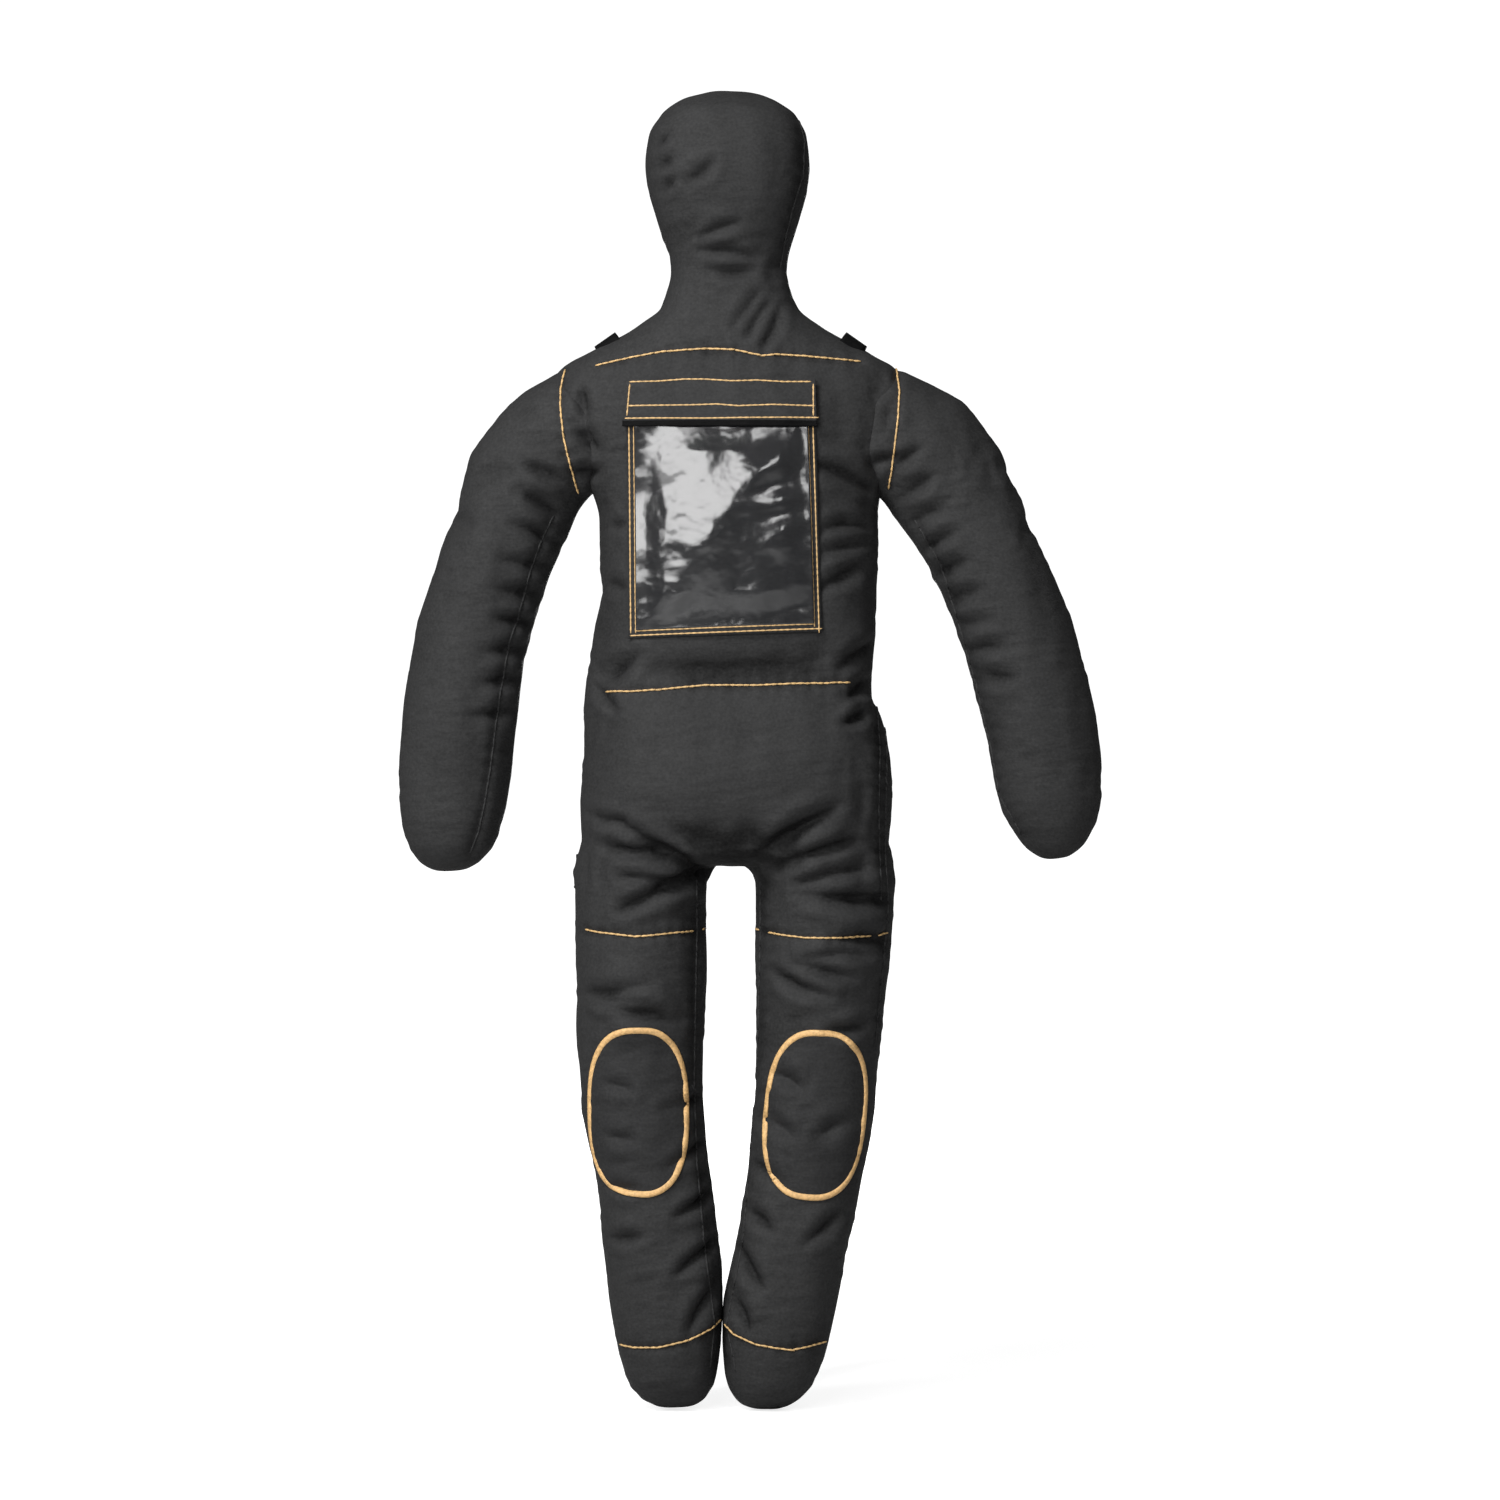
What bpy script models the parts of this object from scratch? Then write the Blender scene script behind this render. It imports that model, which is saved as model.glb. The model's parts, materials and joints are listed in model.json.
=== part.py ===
"""A stuffed human-shaped training dummy, 900 mm tall, standing with its front towards -Y.

Every limb is a chain of stuffed fabric links. A link is a filling inside a sewn cover, and where a
link bends its far end is domed about the joint's axis, so that it can turn under the link before it.
"""
import math

import bmesh
import bpy
from mathutils import Vector

for old in list(bpy.data.objects):
    bpy.data.objects.remove(old, do_unlink=True)

# Cloth and clearances
wall = 0.0020            # cover, with its lining
gap = 0.0004             # left between pieces that touch
trunk_x = -0.0131        # the trunk stands off the middle, because the left arm is spread wider
middle_y = 0.0015        # and a little back, because the pocket stands proud in front

# Trunk heights
head_top = 0.9000
head_base = 0.7788
neck_joint_z = 0.7520
chest_top = 0.7305
yoke_seam = 0.7147
armhole_x = 0.0930       # half width of the chest between the sleeves
chest_base = 0.5205
waist_joint_z = 0.4880
pelvis_base = 0.4340

# Arms, measured out from the middle of the trunk
shoulder_z = 0.6600
swing_face_x = 0.0935    # inner face of the shoulder wad
raise_joint_x = 0.1400
arm_ball = 0.0360        # the sleeve's rounded head
wad_radius = 0.0400
elbow = {"right": (0.1820, 0.4940), "left": (0.2050, 0.4940)}
mitt_tip = {"right": (0.1900, 0.3710), "left": (0.2190, 0.3780)}

# Legs, measured out from the middle of the trunk
hip_joint_z = 0.3920
spread_joint_z = 0.3450
knee_joint_z = 0.2050
ankle_seam = 0.0500
hip_x = {"right": 0.0605, "left": 0.0615}
knee_x = {"right": 0.0580, "left": 0.0560}
foot_x = {"right": 0.0425, "left": 0.0335}

# Chest pocket and flap, as heights and as layers standing off the chest cover
pocket_low, pocket_high = 0.5250, 0.6715
flap_low, flap_high = 0.6690, 0.6970
tape_low = 0.6640
strip_low, strip_high = 0.6745, 0.6915

side = {"right": -1.0, "left": 1.0}
down = Vector((0, 0, -1))
up = Vector((0, 0, 1))
across = Vector((1, 0, 0))

# Half of an outline from +X round the front to -X, with a vertex at each edge of the pocket
quarter_turn = (0, 20, 38, 54.5, 72)
front_angles = [math.radians(a) for a in quarter_turn + (90, 108, 125.5, 142, 160, 180)]
full_angles = front_angles[:-1] + [a + math.pi for a in front_angles[:-1]]
limb_angles = [math.tau * i / 16 for i in range(16)]
pocket_angles = front_angles[3:8]
strip_angles = front_angles[4:7]


def material(name, colour, roughness, alpha=1.0):
    made = bpy.data.materials.new(name)
    made.use_nodes = True
    shader = made.node_tree.nodes["Principled BSDF"]
    shader.inputs["Base Color"].default_value = (*colour, 1.0)
    shader.inputs["Roughness"].default_value = roughness
    shader.inputs["Alpha"].default_value = alpha
    made.diffuse_color = (*colour, alpha)
    return made


cloth = material("grey_nylon_cloth", (0.050, 0.052, 0.053), 0.85)
patch_cloth = material("knee_patch_cloth", (0.036, 0.037, 0.039), 0.9)
webbing = material("black_webbing", (0.010, 0.010, 0.011), 0.8)
thread = material("tan_border_thread", (0.60, 0.40, 0.19), 0.7)
film = material("clear_vinyl_film", (0.55, 0.56, 0.58), 0.12, 0.4)
stuffing = material("textile_stuffing", (0.55, 0.53, 0.50), 0.95)


def outline(centre, lateral, width, depth, angles, power):
    """A rounded outline in the plane of lateral and Y; 0 degrees is lateral, 90 is the front."""
    points = []
    for angle in angles:
        c, s = math.cos(angle), math.sin(angle)
        x = width * math.copysign(abs(c) ** (2 / power), c)
        y = -depth * math.copysign(abs(s) ** (2 / power), s)
        points.append(centre + lateral * x + Vector((0, middle_y + y, 0)))
    return points


def finish(name, body, made_of):
    bmesh.ops.recalc_face_normals(body, faces=body.faces)
    mesh = bpy.data.meshes.new(name)
    body.to_mesh(mesh)
    body.free()
    mesh.materials.append(made_of)
    mesh.shade_smooth()
    mesh.set_sharp_from_angle(angle=math.radians(40))
    made = bpy.data.objects.new(name, mesh)
    bpy.context.scene.collection.objects.link(made)
    return made


def solid(name, outer, made_of, inner=None, loop=True, ends=(True, True)):
    """Rings of points made one closed body: a full loft, or a wall between outer and inner rings.

    A wall's end is closed by the cloth where ends says so, and shows the wall's edge elsewhere.
    """
    body = bmesh.new()

    def skin(rings):
        rows = [[body.verts.new(p) for p in ring] for ring in rings]
        count = len(rows[0])
        for low, high in zip(rows, rows[1:]):
            for i in range(count if loop else count - 1):
                j = (i + 1) % count
                body.faces.new((low[i], low[j], high[j], high[i]))
        return rows

    outside = skin(outer)
    inside = skin(inner) if inner else None
    for closed, row in ((ends[0], 0), (ends[1], -1)):
        if closed:
            body.faces.new(outside[row])
            if inside:
                body.faces.new(inside[row])
        elif inside:
            a, b = outside[row], inside[row]
            for i in range(len(a) if loop else len(a) - 1):
                j = (i + 1) % len(a)
                body.faces.new((a[i], a[j], b[j], b[i]))
    if inside and not loop:
        for column in (0, -1):
            for k in range(len(outside) - 1):
                body.faces.new((outside[k][column], outside[k + 1][column],
                                inside[k + 1][column], inside[k][column]))
    return finish(name, body, made_of)


def between(stations, z):
    """Width, depth and sideways place at this height, between the stations on either side."""
    for low, high in zip(stations, stations[1:]):
        if low[0] <= z <= high[0]:
            part = (z - low[0]) / (high[0] - low[0])
            return [a + (b - a) * part for a, b in zip(low[1:], high[1:])]
    raise ValueError(f"{z} is outside the stations")


def heights(stations, low, high):
    return [low] + [s[0] for s in stations if low < s[0] < high] + [high]


def dome(radius, reach, swing):
    """Steps of a link's end as (height above the joint, share of the full outline).

    The end stays below reach while the link turns up to swing radians either way.
    """
    steps = []
    for phi in (0, 20, 42, 62, 76):
        phi = math.radians(phi)
        least = min(math.pi / 2, phi + swing)
        rho = min(radius, reach / math.sin(least))
        steps.append((rho * math.sin(phi), rho * math.cos(phi) / radius))
    return steps


# ---- Trunk: stations are (height, half width, half depth, sideways place) ----

chest_stations = [
    (chest_base, 0.0962, 0.0515, trunk_x),
    (0.5600, 0.0930, 0.0550, trunk_x),
    (0.6450, armhole_x, 0.0550, trunk_x),
    (0.6970, armhole_x, 0.0515, trunk_x),
    (yoke_seam, 0.0920, 0.0455, trunk_x),
    (chest_top, 0.0740, 0.0370, trunk_x),
]
pelvis_stations = [
    (pelvis_base, 0.1040, 0.0565, trunk_x),
    (0.4600, 0.1030, 0.0550, trunk_x),
    (waist_joint_z, 0.0985, 0.0510, trunk_x),
]
neck_stations = [
    (neck_joint_z, 0.0420, 0.0370, trunk_x),
    (0.7640, 0.0405, 0.0360, trunk_x),
    (head_base - gap, 0.0385, 0.0350, trunk_x),
]
head_stations = [
    (head_base, 0.0385, 0.0350, trunk_x),
    (0.8000, 0.0470, 0.0425, trunk_x),
    (0.8200, 0.0535, 0.0480, trunk_x),
    (0.8420, 0.0562, 0.0500, trunk_x),
    (0.8650, 0.0538, 0.0480, trunk_x),
    (0.8840, 0.0440, 0.0400, trunk_x),
    (0.8950, 0.0300, 0.0280, trunk_x),
    (head_top, 0.0120, 0.0110, trunk_x),
]
trunk_power = 2.5
limb_power = 2.15


def layer(stations, zs, offset, angles, power):
    """Rings that stand this far off the surface that the stations describe."""
    rings = []
    for z in zs:
        width, depth, x = between(stations, z)
        centre = Vector((x, 0, z))
        rings.append(outline(centre, across, width + offset, depth + offset, angles, power))
    return rings


def panel(name, stations, low, high, angles, lift, thick, made_of):
    """A sewn panel or strip that follows the trunk between two heights."""
    zs = heights(stations, low, high)
    outer = layer(stations, zs, lift + thick, angles, trunk_power)
    inner = layer(stations, zs, lift, angles, trunk_power)
    return solid(name, outer, made_of, inner, loop=False, ends=(False, False))


def cover_halves(prefix, stations, low, high):
    """Front and back panels that meet at the side seams, a seam allowance of gap apart."""
    trim = gap / 2 / stations[0][2]
    for half, turn in (("front", 0.0), ("back", math.pi)):
        angles = [a + turn for a in front_angles]
        angles[0] += trim
        angles[-1] -= trim
        panel(f"{prefix}_{half}_panel", stations, low, high, angles, -wall, wall, cloth)


def sleeve(name, stations, low, high, angles, power, made_of, ends=(False, False)):
    """A cover all the way round, between two heights."""
    zs = heights(stations, low, high)
    outer = layer(stations, zs, 0.0, angles, power)
    inner_zs = list(zs)
    if ends[0]:
        inner_zs[0] += wall
    if ends[1]:
        inner_zs[-1] -= wall
    inner = layer(stations, inner_zs, -wall, angles, power)
    return solid(name, outer, made_of, inner, ends=ends)


def filling(name, stations, low, high, angles, power, low_dome=(), high_dome=()):
    """Stuffing inside a cover, with the domed steps beyond the given heights."""
    inset = -(wall + gap)
    rings = []
    for share, step in ((-1, low_dome), (1, high_dome)):
        z = low if share < 0 else high
        width, depth, x = between(stations, z)
        dome_rings = [
            outline(Vector((x, 0, z + share * rise)), across, (width + inset) * size,
                    (depth + inset) * size, angles, power)
            for rise, size in step[1:]
        ]
        if share < 0:
            rings += dome_rings[::-1]
            rings += layer(stations, heights(stations, low, high), inset, angles, power)
        else:
            rings += dome_rings
    return solid(name, rings, stuffing)


cover_halves("chest", chest_stations, chest_base, yoke_seam - gap)
sleeve("shoulder_yoke", chest_stations, yoke_seam, chest_top, full_angles, trunk_power, cloth)
filling("chest_filling", chest_stations, chest_base, chest_top, full_angles, trunk_power)

waist_swing = math.radians(35)
waist_dome = dome(0.0486, chest_base - waist_joint_z - gap, waist_swing)
cover_halves("pelvis", pelvis_stations, pelvis_base, waist_joint_z)
filling("pelvis_filling", pelvis_stations, pelvis_base, waist_joint_z, full_angles, trunk_power,
        high_dome=waist_dome)

nod_swing = math.radians(30)
neck_dome = dome(0.0346, neck_joint_z - chest_top - gap, nod_swing)
sleeve("neck_cover", neck_stations, neck_joint_z, head_base - gap, limb_angles, 2.0, cloth)
filling("neck_filling", neck_stations, neck_joint_z, head_base - gap, limb_angles, 2.0,
        low_dome=neck_dome)
sleeve("head_cover", head_stations, head_base, head_top, limb_angles, 2.0, cloth, ends=(False, True))
filling("head_filling", head_stations, head_base, head_top - wall - gap, limb_angles, 2.0)

# ---- Chest pocket: backing, clear window, loop strip, and a flap with its hook strip and tape ----

panel("pocket_backing", chest_stations, pocket_low, pocket_high, pocket_angles, 0.0006, 0.0006, cloth)
panel("pocket_window", chest_stations, pocket_low, pocket_high, pocket_angles, 0.0016, 0.0006, film)
panel("chest_loop_strip", chest_stations, strip_low, strip_high, strip_angles, 0.0006, 0.0014, webbing)
panel("flap_hook_strip", chest_stations, strip_low, strip_high, strip_angles, 0.0026, 0.0014, webbing)
panel("pocket_flap", chest_stations, flap_low, flap_high, pocket_angles, 0.0044, 0.0014, cloth)
panel("flap_edge_tape", chest_stations, tape_low, flap_low - gap, pocket_angles, 0.0044, 0.0014, webbing)


# ---- Shoulder loops: a webbing strap arched over each shoulder, from front to back ----

loop_x = 0.0832
loop_width = 0.0170
loop_rise = 0.0078       # underside of the arch above the shoulder's ridge
loop_span = 0.0210       # half of the distance between its sewn ends
loop_thick = 0.0018


def shoulder_loop(name, s):
    slope = math.atan2(chest_top - yoke_seam, 0.0920 - 0.0740)
    along = Vector((s * math.cos(slope), 0, -math.sin(slope)))
    out = Vector((s * math.sin(slope), 0, math.cos(slope)))
    ridge_z = chest_top - (loop_x - 0.0740) * math.tan(slope)
    ridge = Vector((trunk_x + s * loop_x, middle_y, ridge_z))
    rings = []
    steps = 10
    for i in range(steps + 1):
        turn = math.pi * i / steps
        y = -loop_span * math.cos(turn)
        lift = 0.0010 + (loop_rise - 0.0010) * math.sin(turn) ** 0.6
        middle = ridge + Vector((0, y, 0)) + out * lift
        lean = Vector((0, math.copysign(abs(math.cos(turn)) ** 1.5, -math.cos(turn)), 0)) + out
        thick = lean.normalized() * loop_thick
        half = along * (loop_width / 2)
        rings.append([middle - half, middle + half, middle + half + thick, middle - half + thick])
    return solid(name, rings, webbing)


for who, s in side.items():
    shoulder_loop(f"{who}_shoulder_loop", s)


# ---- Limbs that lie along a slanting line: stations are (distance, half width, half depth) ----


def slanted(origin, tip, stations, offset, angles=limb_angles, power=limb_power):
    axis = (tip - origin).normalized()
    lateral = Vector((-axis.z, 0, axis.x))
    return [outline(origin + axis * t, lateral, w + offset, d + offset, angles, power)
            for t, w, d in stations]


for who, s in side.items():
    shoulder = Vector((trunk_x + s * raise_joint_x, 0, shoulder_z))
    bend = Vector((trunk_x + s * elbow[who][0], 0, elbow[who][1]))
    tip = Vector((trunk_x + s * mitt_tip[who][0], 0, mitt_tip[who][1]))

    # The wad is turned about the swing axis, so that it can spin against the chest.
    wad_end = raise_joint_x - arm_ball - gap
    faces = [(swing_face_x, wad_radius - 0.003), (swing_face_x + 0.002, wad_radius),
             (wad_end - 0.002, wad_radius), (wad_end, wad_radius - 0.003)]

    def turned(profile, offset):
        return [[Vector((trunk_x + s * x, middle_y + (r + offset) * math.cos(a),
                         shoulder_z + (r + offset) * math.sin(a)))
                 for a in limb_angles] for x, r in profile]

    sleeve_head = [(x, r) for x, r in faces[1:3]]
    solid(f"{who}_sleeve_head", turned(sleeve_head, 0.0), cloth, turned(sleeve_head, -wall),
          ends=(False, False))
    solid(f"{who}_shoulder_wad", turned(faces, -(wall + gap)), stuffing)

    upper_length = (bend - shoulder).length
    upper_end = upper_length - 0.0350 - gap
    upper = [(0.0, arm_ball, arm_ball), (0.0400, 0.0392, 0.0350), (upper_end, 0.0390, 0.0345)]
    ball = [(-arm_ball * math.sin(a), arm_ball * math.cos(a), arm_ball * math.cos(a))
            for a in (math.radians(d) for d in (76, 55, 32, 14))]
    solid(f"{who}_upper_sleeve", slanted(shoulder, bend, upper, 0.0), cloth,
          slanted(shoulder, bend, upper, -wall), ends=(False, False))
    solid(f"{who}_upper_arm_filling", slanted(shoulder, bend, ball + upper, -(wall + gap)), stuffing)

    lower_length = (tip - bend).length
    mitt = [(0.0, 0.0388, 0.0345), (lower_length * 0.42, 0.0385, 0.0345),
            (lower_length * 0.66, 0.0360, 0.0325), (lower_length * 0.84, 0.0298, 0.0265),
            (lower_length * 0.95, 0.0180, 0.0160), (lower_length, 0.0060, 0.0055)]
    inner_mitt = [(t - (wall if k == len(mitt) - 1 else 0.0), w, d) for k, (t, w, d) in enumerate(mitt)]
    elbow_head = [(-0.0320 * math.sin(a), 0.0388 * math.cos(a), 0.0345 * math.cos(a))
                  for a in (math.radians(d) for d in (76, 55, 32, 14))]
    solid(f"{who}_lower_sleeve", slanted(bend, tip, mitt, 0.0), cloth,
          slanted(bend, tip, inner_mitt, -wall), ends=(False, True))
    stuffed = elbow_head + mitt[:-1] + [(lower_length - wall - gap, 0.0060, 0.0055)]
    solid(f"{who}_forearm_filling", slanted(bend, tip, stuffed, -(wall + gap)), stuffing)


# ---- Legs ----

knee_swing_depth = 0.0395
spread_swing = math.radians(30)


def leg_stations(who):
    """One outline for the whole leg, so that thigh, shin and knee patch share a surface."""
    s = side[who]

    def x_at(z):
        high, mid, low = (hip_joint_z, hip_x), (knee_joint_z, knee_x), (0.0, foot_x)
        a, b = (low, mid) if z <= knee_joint_z else (mid, high)
        part = (z - a[0]) / (b[0] - a[0])
        return trunk_x + s * (a[1][who] + (b[1][who] - a[1][who]) * part)

    rows = [(0.0, 0.0140, 0.0130), (0.0060, 0.0240, 0.0230), (0.0180, 0.0310, 0.0300),
            (ankle_seam, 0.0362, 0.0352), (0.1100, 0.0385, 0.0375), (knee_joint_z, 0.0405, 0.0395),
            (0.2600, 0.0415, 0.0405), (spread_joint_z, 0.0440, 0.0420), (hip_joint_z, 0.0440, 0.0420)]
    return [(z, w, d, x_at(z)) for z, w, d in rows]


knee_middle = 0.2055
knee_height = 0.0570
knee_reach = math.radians(57)
border = 1.07


def knee_surface(stations, size, turn, offset):
    """A point of the oval patch, size 1 at its edge, that lies on the front of the leg."""
    angle = math.pi / 2 + size * knee_reach * math.cos(turn)
    z = knee_middle + size * knee_height * math.sin(turn)
    width, depth, x = between(stations, z)
    return outline(Vector((x, 0, z)), across, width + offset, depth + offset, [angle], limb_power)[0]


def oval_patch(name, stations, sizes, lift, thick, made_of, whole):
    """A round-edged patch, or the border ring around it."""
    turns = [math.tau * i / 20 for i in range(20)]
    outer = [[knee_surface(stations, size, t, lift + thick) for t in turns] for size in sizes]
    inner = [[knee_surface(stations, size, t, lift) for t in turns] for size in sizes]
    if not whole:
        return ring_of(name, [outer[0], outer[-1], inner[-1], inner[0]], made_of)
    return patch_of(name, outer, inner, stations, lift, thick, made_of)


def ring_of(name, loops, made_of):
    """A ring whose section's corners run along the given loops."""
    body = bmesh.new()
    rows = [[body.verts.new(p) for p in loop] for loop in loops]
    for a, b in zip(rows, rows[1:] + rows[:1]):
        for i in range(len(a)):
            j = (i + 1) % len(a)
            body.faces.new((a[i], a[j], b[j], b[i]))
    return finish(name, body, made_of)


def patch_of(name, outer, inner, stations, lift, thick, made_of):
    """An oval sheet: rings of vertices about a middle one, on both faces."""
    body = bmesh.new()
    rims = []
    for rings, offset in ((outer, lift + thick), (inner, lift)):
        middle = body.verts.new(knee_surface(stations, 0.0, 0.0, offset))
        rows = [[body.verts.new(p) for p in ring] for ring in rings]
        first = rows[0]
        for i in range(len(first)):
            body.faces.new((middle, first[i], first[(i + 1) % len(first)]))
        for a, b in zip(rows, rows[1:]):
            for i in range(len(a)):
                j = (i + 1) % len(a)
                body.faces.new((a[i], a[j], b[j], b[i]))
        rims.append(rows[-1])
    for i in range(len(rims[0])):
        j = (i + 1) % len(rims[0])
        body.faces.new((rims[0][i], rims[0][j], rims[1][j], rims[1][i]))
    return finish(name, body, made_of)


for who in side:
    leg = leg_stations(who)
    thigh_base = knee_joint_z + knee_swing_depth + gap
    hip_base = spread_joint_z + 0.0440 * math.sin(spread_swing) + gap
    hip_round = dome(0.0396, 0.0396, math.pi / 2)
    spread_round = dome(0.0416, hip_base - spread_joint_z - gap, spread_swing)
    knee_round = dome(0.0371, 0.0371, math.pi / 2)

    sleeve(f"{who}_hip_cover", leg, hip_base, hip_joint_z, limb_angles, limb_power, cloth)
    filling(f"{who}_hip_filling", leg, hip_base, hip_joint_z, limb_angles, limb_power,
            high_dome=hip_round)
    sleeve(f"{who}_thigh_cover", leg, thigh_base, spread_joint_z, limb_angles, limb_power, cloth)
    filling(f"{who}_thigh_filling", leg, thigh_base, spread_joint_z, limb_angles, limb_power,
            high_dome=spread_round)
    sleeve(f"{who}_shin_cover", leg, ankle_seam + gap, knee_joint_z, limb_angles, limb_power, cloth)
    sleeve(f"{who}_toe_cap", leg, 0.0, ankle_seam, limb_angles, limb_power, cloth, ends=(True, False))
    filling(f"{who}_shin_filling", leg, wall + gap, knee_joint_z, limb_angles, limb_power,
            high_dome=knee_round)
    oval_patch(f"{who}_knee_patch", leg, (0.5, 0.985), 0.0021, 0.0012, patch_cloth, whole=True)
    oval_patch(f"{who}_knee_border", leg, (1.0, border), 0.0021, 0.0016, thread, whole=False)
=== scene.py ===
import json
import math
import random
import time

import bmesh
import bpy
import numpy as np
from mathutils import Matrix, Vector
from mathutils.bvhtree import BVHTree


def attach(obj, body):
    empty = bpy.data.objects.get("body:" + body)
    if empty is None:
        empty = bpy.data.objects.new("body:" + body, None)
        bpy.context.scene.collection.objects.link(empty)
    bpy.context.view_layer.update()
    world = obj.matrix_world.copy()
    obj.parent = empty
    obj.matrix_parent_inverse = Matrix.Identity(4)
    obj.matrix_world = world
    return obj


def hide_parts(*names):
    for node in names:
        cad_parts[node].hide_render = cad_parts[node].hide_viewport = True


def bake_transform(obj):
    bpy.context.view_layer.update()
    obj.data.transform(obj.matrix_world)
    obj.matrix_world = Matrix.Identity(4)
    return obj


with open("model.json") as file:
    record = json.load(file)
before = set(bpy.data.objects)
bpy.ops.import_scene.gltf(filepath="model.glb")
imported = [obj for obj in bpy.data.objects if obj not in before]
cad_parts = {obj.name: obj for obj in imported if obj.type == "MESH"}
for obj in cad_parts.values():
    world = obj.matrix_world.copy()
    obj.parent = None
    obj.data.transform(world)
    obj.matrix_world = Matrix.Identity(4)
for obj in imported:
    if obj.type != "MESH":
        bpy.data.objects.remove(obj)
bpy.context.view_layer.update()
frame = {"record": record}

jointAt = {j["name"]: Vector(j["pos_m"]) for j in frame["record"]["behaviour"]["joints"]}
trunkX = jointAt["waist_bend"].x
midY = jointAt["waist_bend"].y
startedAt = time.time()


def report(stage):
    print(f"{stage}: {time.time() - startedAt:.0f} s")


def deselect():
    if bpy.context.mode != "OBJECT":
        bpy.ops.object.mode_set(mode="OBJECT")
    bpy.ops.object.select_all(action="DESELECT")


def activate(piece):
    deselect()
    piece.select_set(True)
    bpy.context.view_layer.objects.active = piece


def applyModifier(piece, kind, **values):
    activate(piece)
    added = piece.modifiers.new(kind.lower(), kind)
    for key, value in values.items():
        setattr(added, key, value)
    bpy.ops.object.modifier_apply(modifier=added.name)


def meshPiece(name, places, faces):
    made = bpy.data.meshes.new(name)
    made.from_pydata([tuple(p) for p in places], [], faces)
    piece = bpy.data.objects.new(name, made)
    bpy.context.scene.collection.objects.link(piece)
    return piece


def turnOutwards(piece):
    activate(piece)
    bpy.ops.object.mode_set(mode="EDIT")
    bpy.ops.mesh.select_all(action="SELECT")
    bpy.ops.mesh.normals_make_consistent(inside=False)
    bpy.ops.object.mode_set(mode="OBJECT")


# the weave of a flat patch runs straight across the front
def weaveAcross(mesh):
    weave = mesh.uv_layers.new(name="weave")
    for loop in mesh.loops:
        place = mesh.vertices[loop.vertex_index].co
        weave.data[loop.index].uv = (place.x, place.z)


def roundSquare(bag, centre, squareness):
    shape = bmesh.from_edit_mesh(bag.data)
    for vert in shape.verts:
        if vert.select:
            x, y = vert.co.x - centre[0], vert.co.y - centre[1]
            vert.co.x = centre[0] + math.copysign(abs(x) ** (2 / squareness), x)
            vert.co.y = centre[1] + math.copysign(abs(y) ** (2 / squareness), y)
    bmesh.update_edit_mesh(bag.data)


# Every stuffed tube starts as circles bridged into a closed bag.
# A ring is (x, z, half width, half depth, lean): lean turns it about Y, in degrees.
def loftBag(name, rings, squareness=2.0, sides=32):
    deselect()
    bpy.ops.object.add(type="MESH", location=(0, 0, 0))
    bag = bpy.context.object
    bag.name = name
    bpy.ops.object.mode_set(mode="EDIT")
    for x, z, halfWidth, halfDepth, lean in rings:
        centre = (x, midY, z)
        bpy.ops.mesh.select_all(action="DESELECT")
        bpy.ops.mesh.primitive_circle_add(vertices=sides, radius=1, location=centre)
        roundSquare(bag, centre, squareness)
        bpy.ops.transform.resize(value=(halfWidth, halfDepth, 1), center_override=centre)
        if lean:
            bpy.ops.transform.rotate(value=math.radians(-lean), orient_axis="Y", center_override=centre)
    bpy.ops.mesh.select_all(action="SELECT")
    bpy.ops.mesh.bridge_edge_loops()
    bpy.ops.mesh.select_all(action="DESELECT")
    bpy.ops.mesh.select_mode(type="EDGE")
    bpy.ops.mesh.select_non_manifold(extend=False)
    bpy.ops.mesh.fill_holes(sides=sides + 1)
    bpy.ops.mesh.select_all(action="SELECT")
    bpy.ops.mesh.normals_make_consistent(inside=False)
    bpy.ops.object.mode_set(mode="OBJECT")
    return bag


trunk = {
    # height, half width, half depth, how far the middle strays sideways
    "rings": [
        (0.376, 0.096, 0.05, 0.003), (0.4, 0.1046, 0.0565, 0.003), (0.443, 0.1039, 0.0565, 0.0055),
        (0.47, 0.102, 0.0535, 0.003), (0.486, 0.099, 0.0485, 0.0008), (0.5, 0.098, 0.0465, 0.0015),
        (0.527, 0.0962, 0.052, 0.0045), (0.555, 0.094, 0.0555, 0.0055), (0.606, 0.0925, 0.057, 0.0045),
        (0.64, 0.101, 0.056, 0.001), (0.665, 0.118, 0.0545, 0.0),
        (0.688, 0.124, 0.051, -0.001), (0.704, 0.114, 0.046, -0.002),
        (0.7147, 0.0955, 0.0415, -0.002), (0.729, 0.069, 0.0385, -0.001),
        (0.7426, 0.048, 0.037, -0.001), (0.756, 0.0425, 0.0355, -0.001),
        (0.77, 0.0385, 0.0345, -0.001), (0.7835, 0.0405, 0.037, -0.0015),
        (0.797, 0.046, 0.042, -0.002), (0.811, 0.0504, 0.0455, -0.002),
        (0.824, 0.0538, 0.048, -0.002), (0.841, 0.0562, 0.05, -0.002),
        (0.8515, 0.0556, 0.0498, -0.002), (0.865, 0.053, 0.0478, -0.0018),
        (0.879, 0.0438, 0.041, -0.0016), (0.888, 0.03, 0.029, -0.0014),
        (0.893, 0.0155, 0.015, -0.0014), (0.8945, 0.007, 0.0065, -0.0014),
    ],
    "squareness": 2.7,
}
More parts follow.
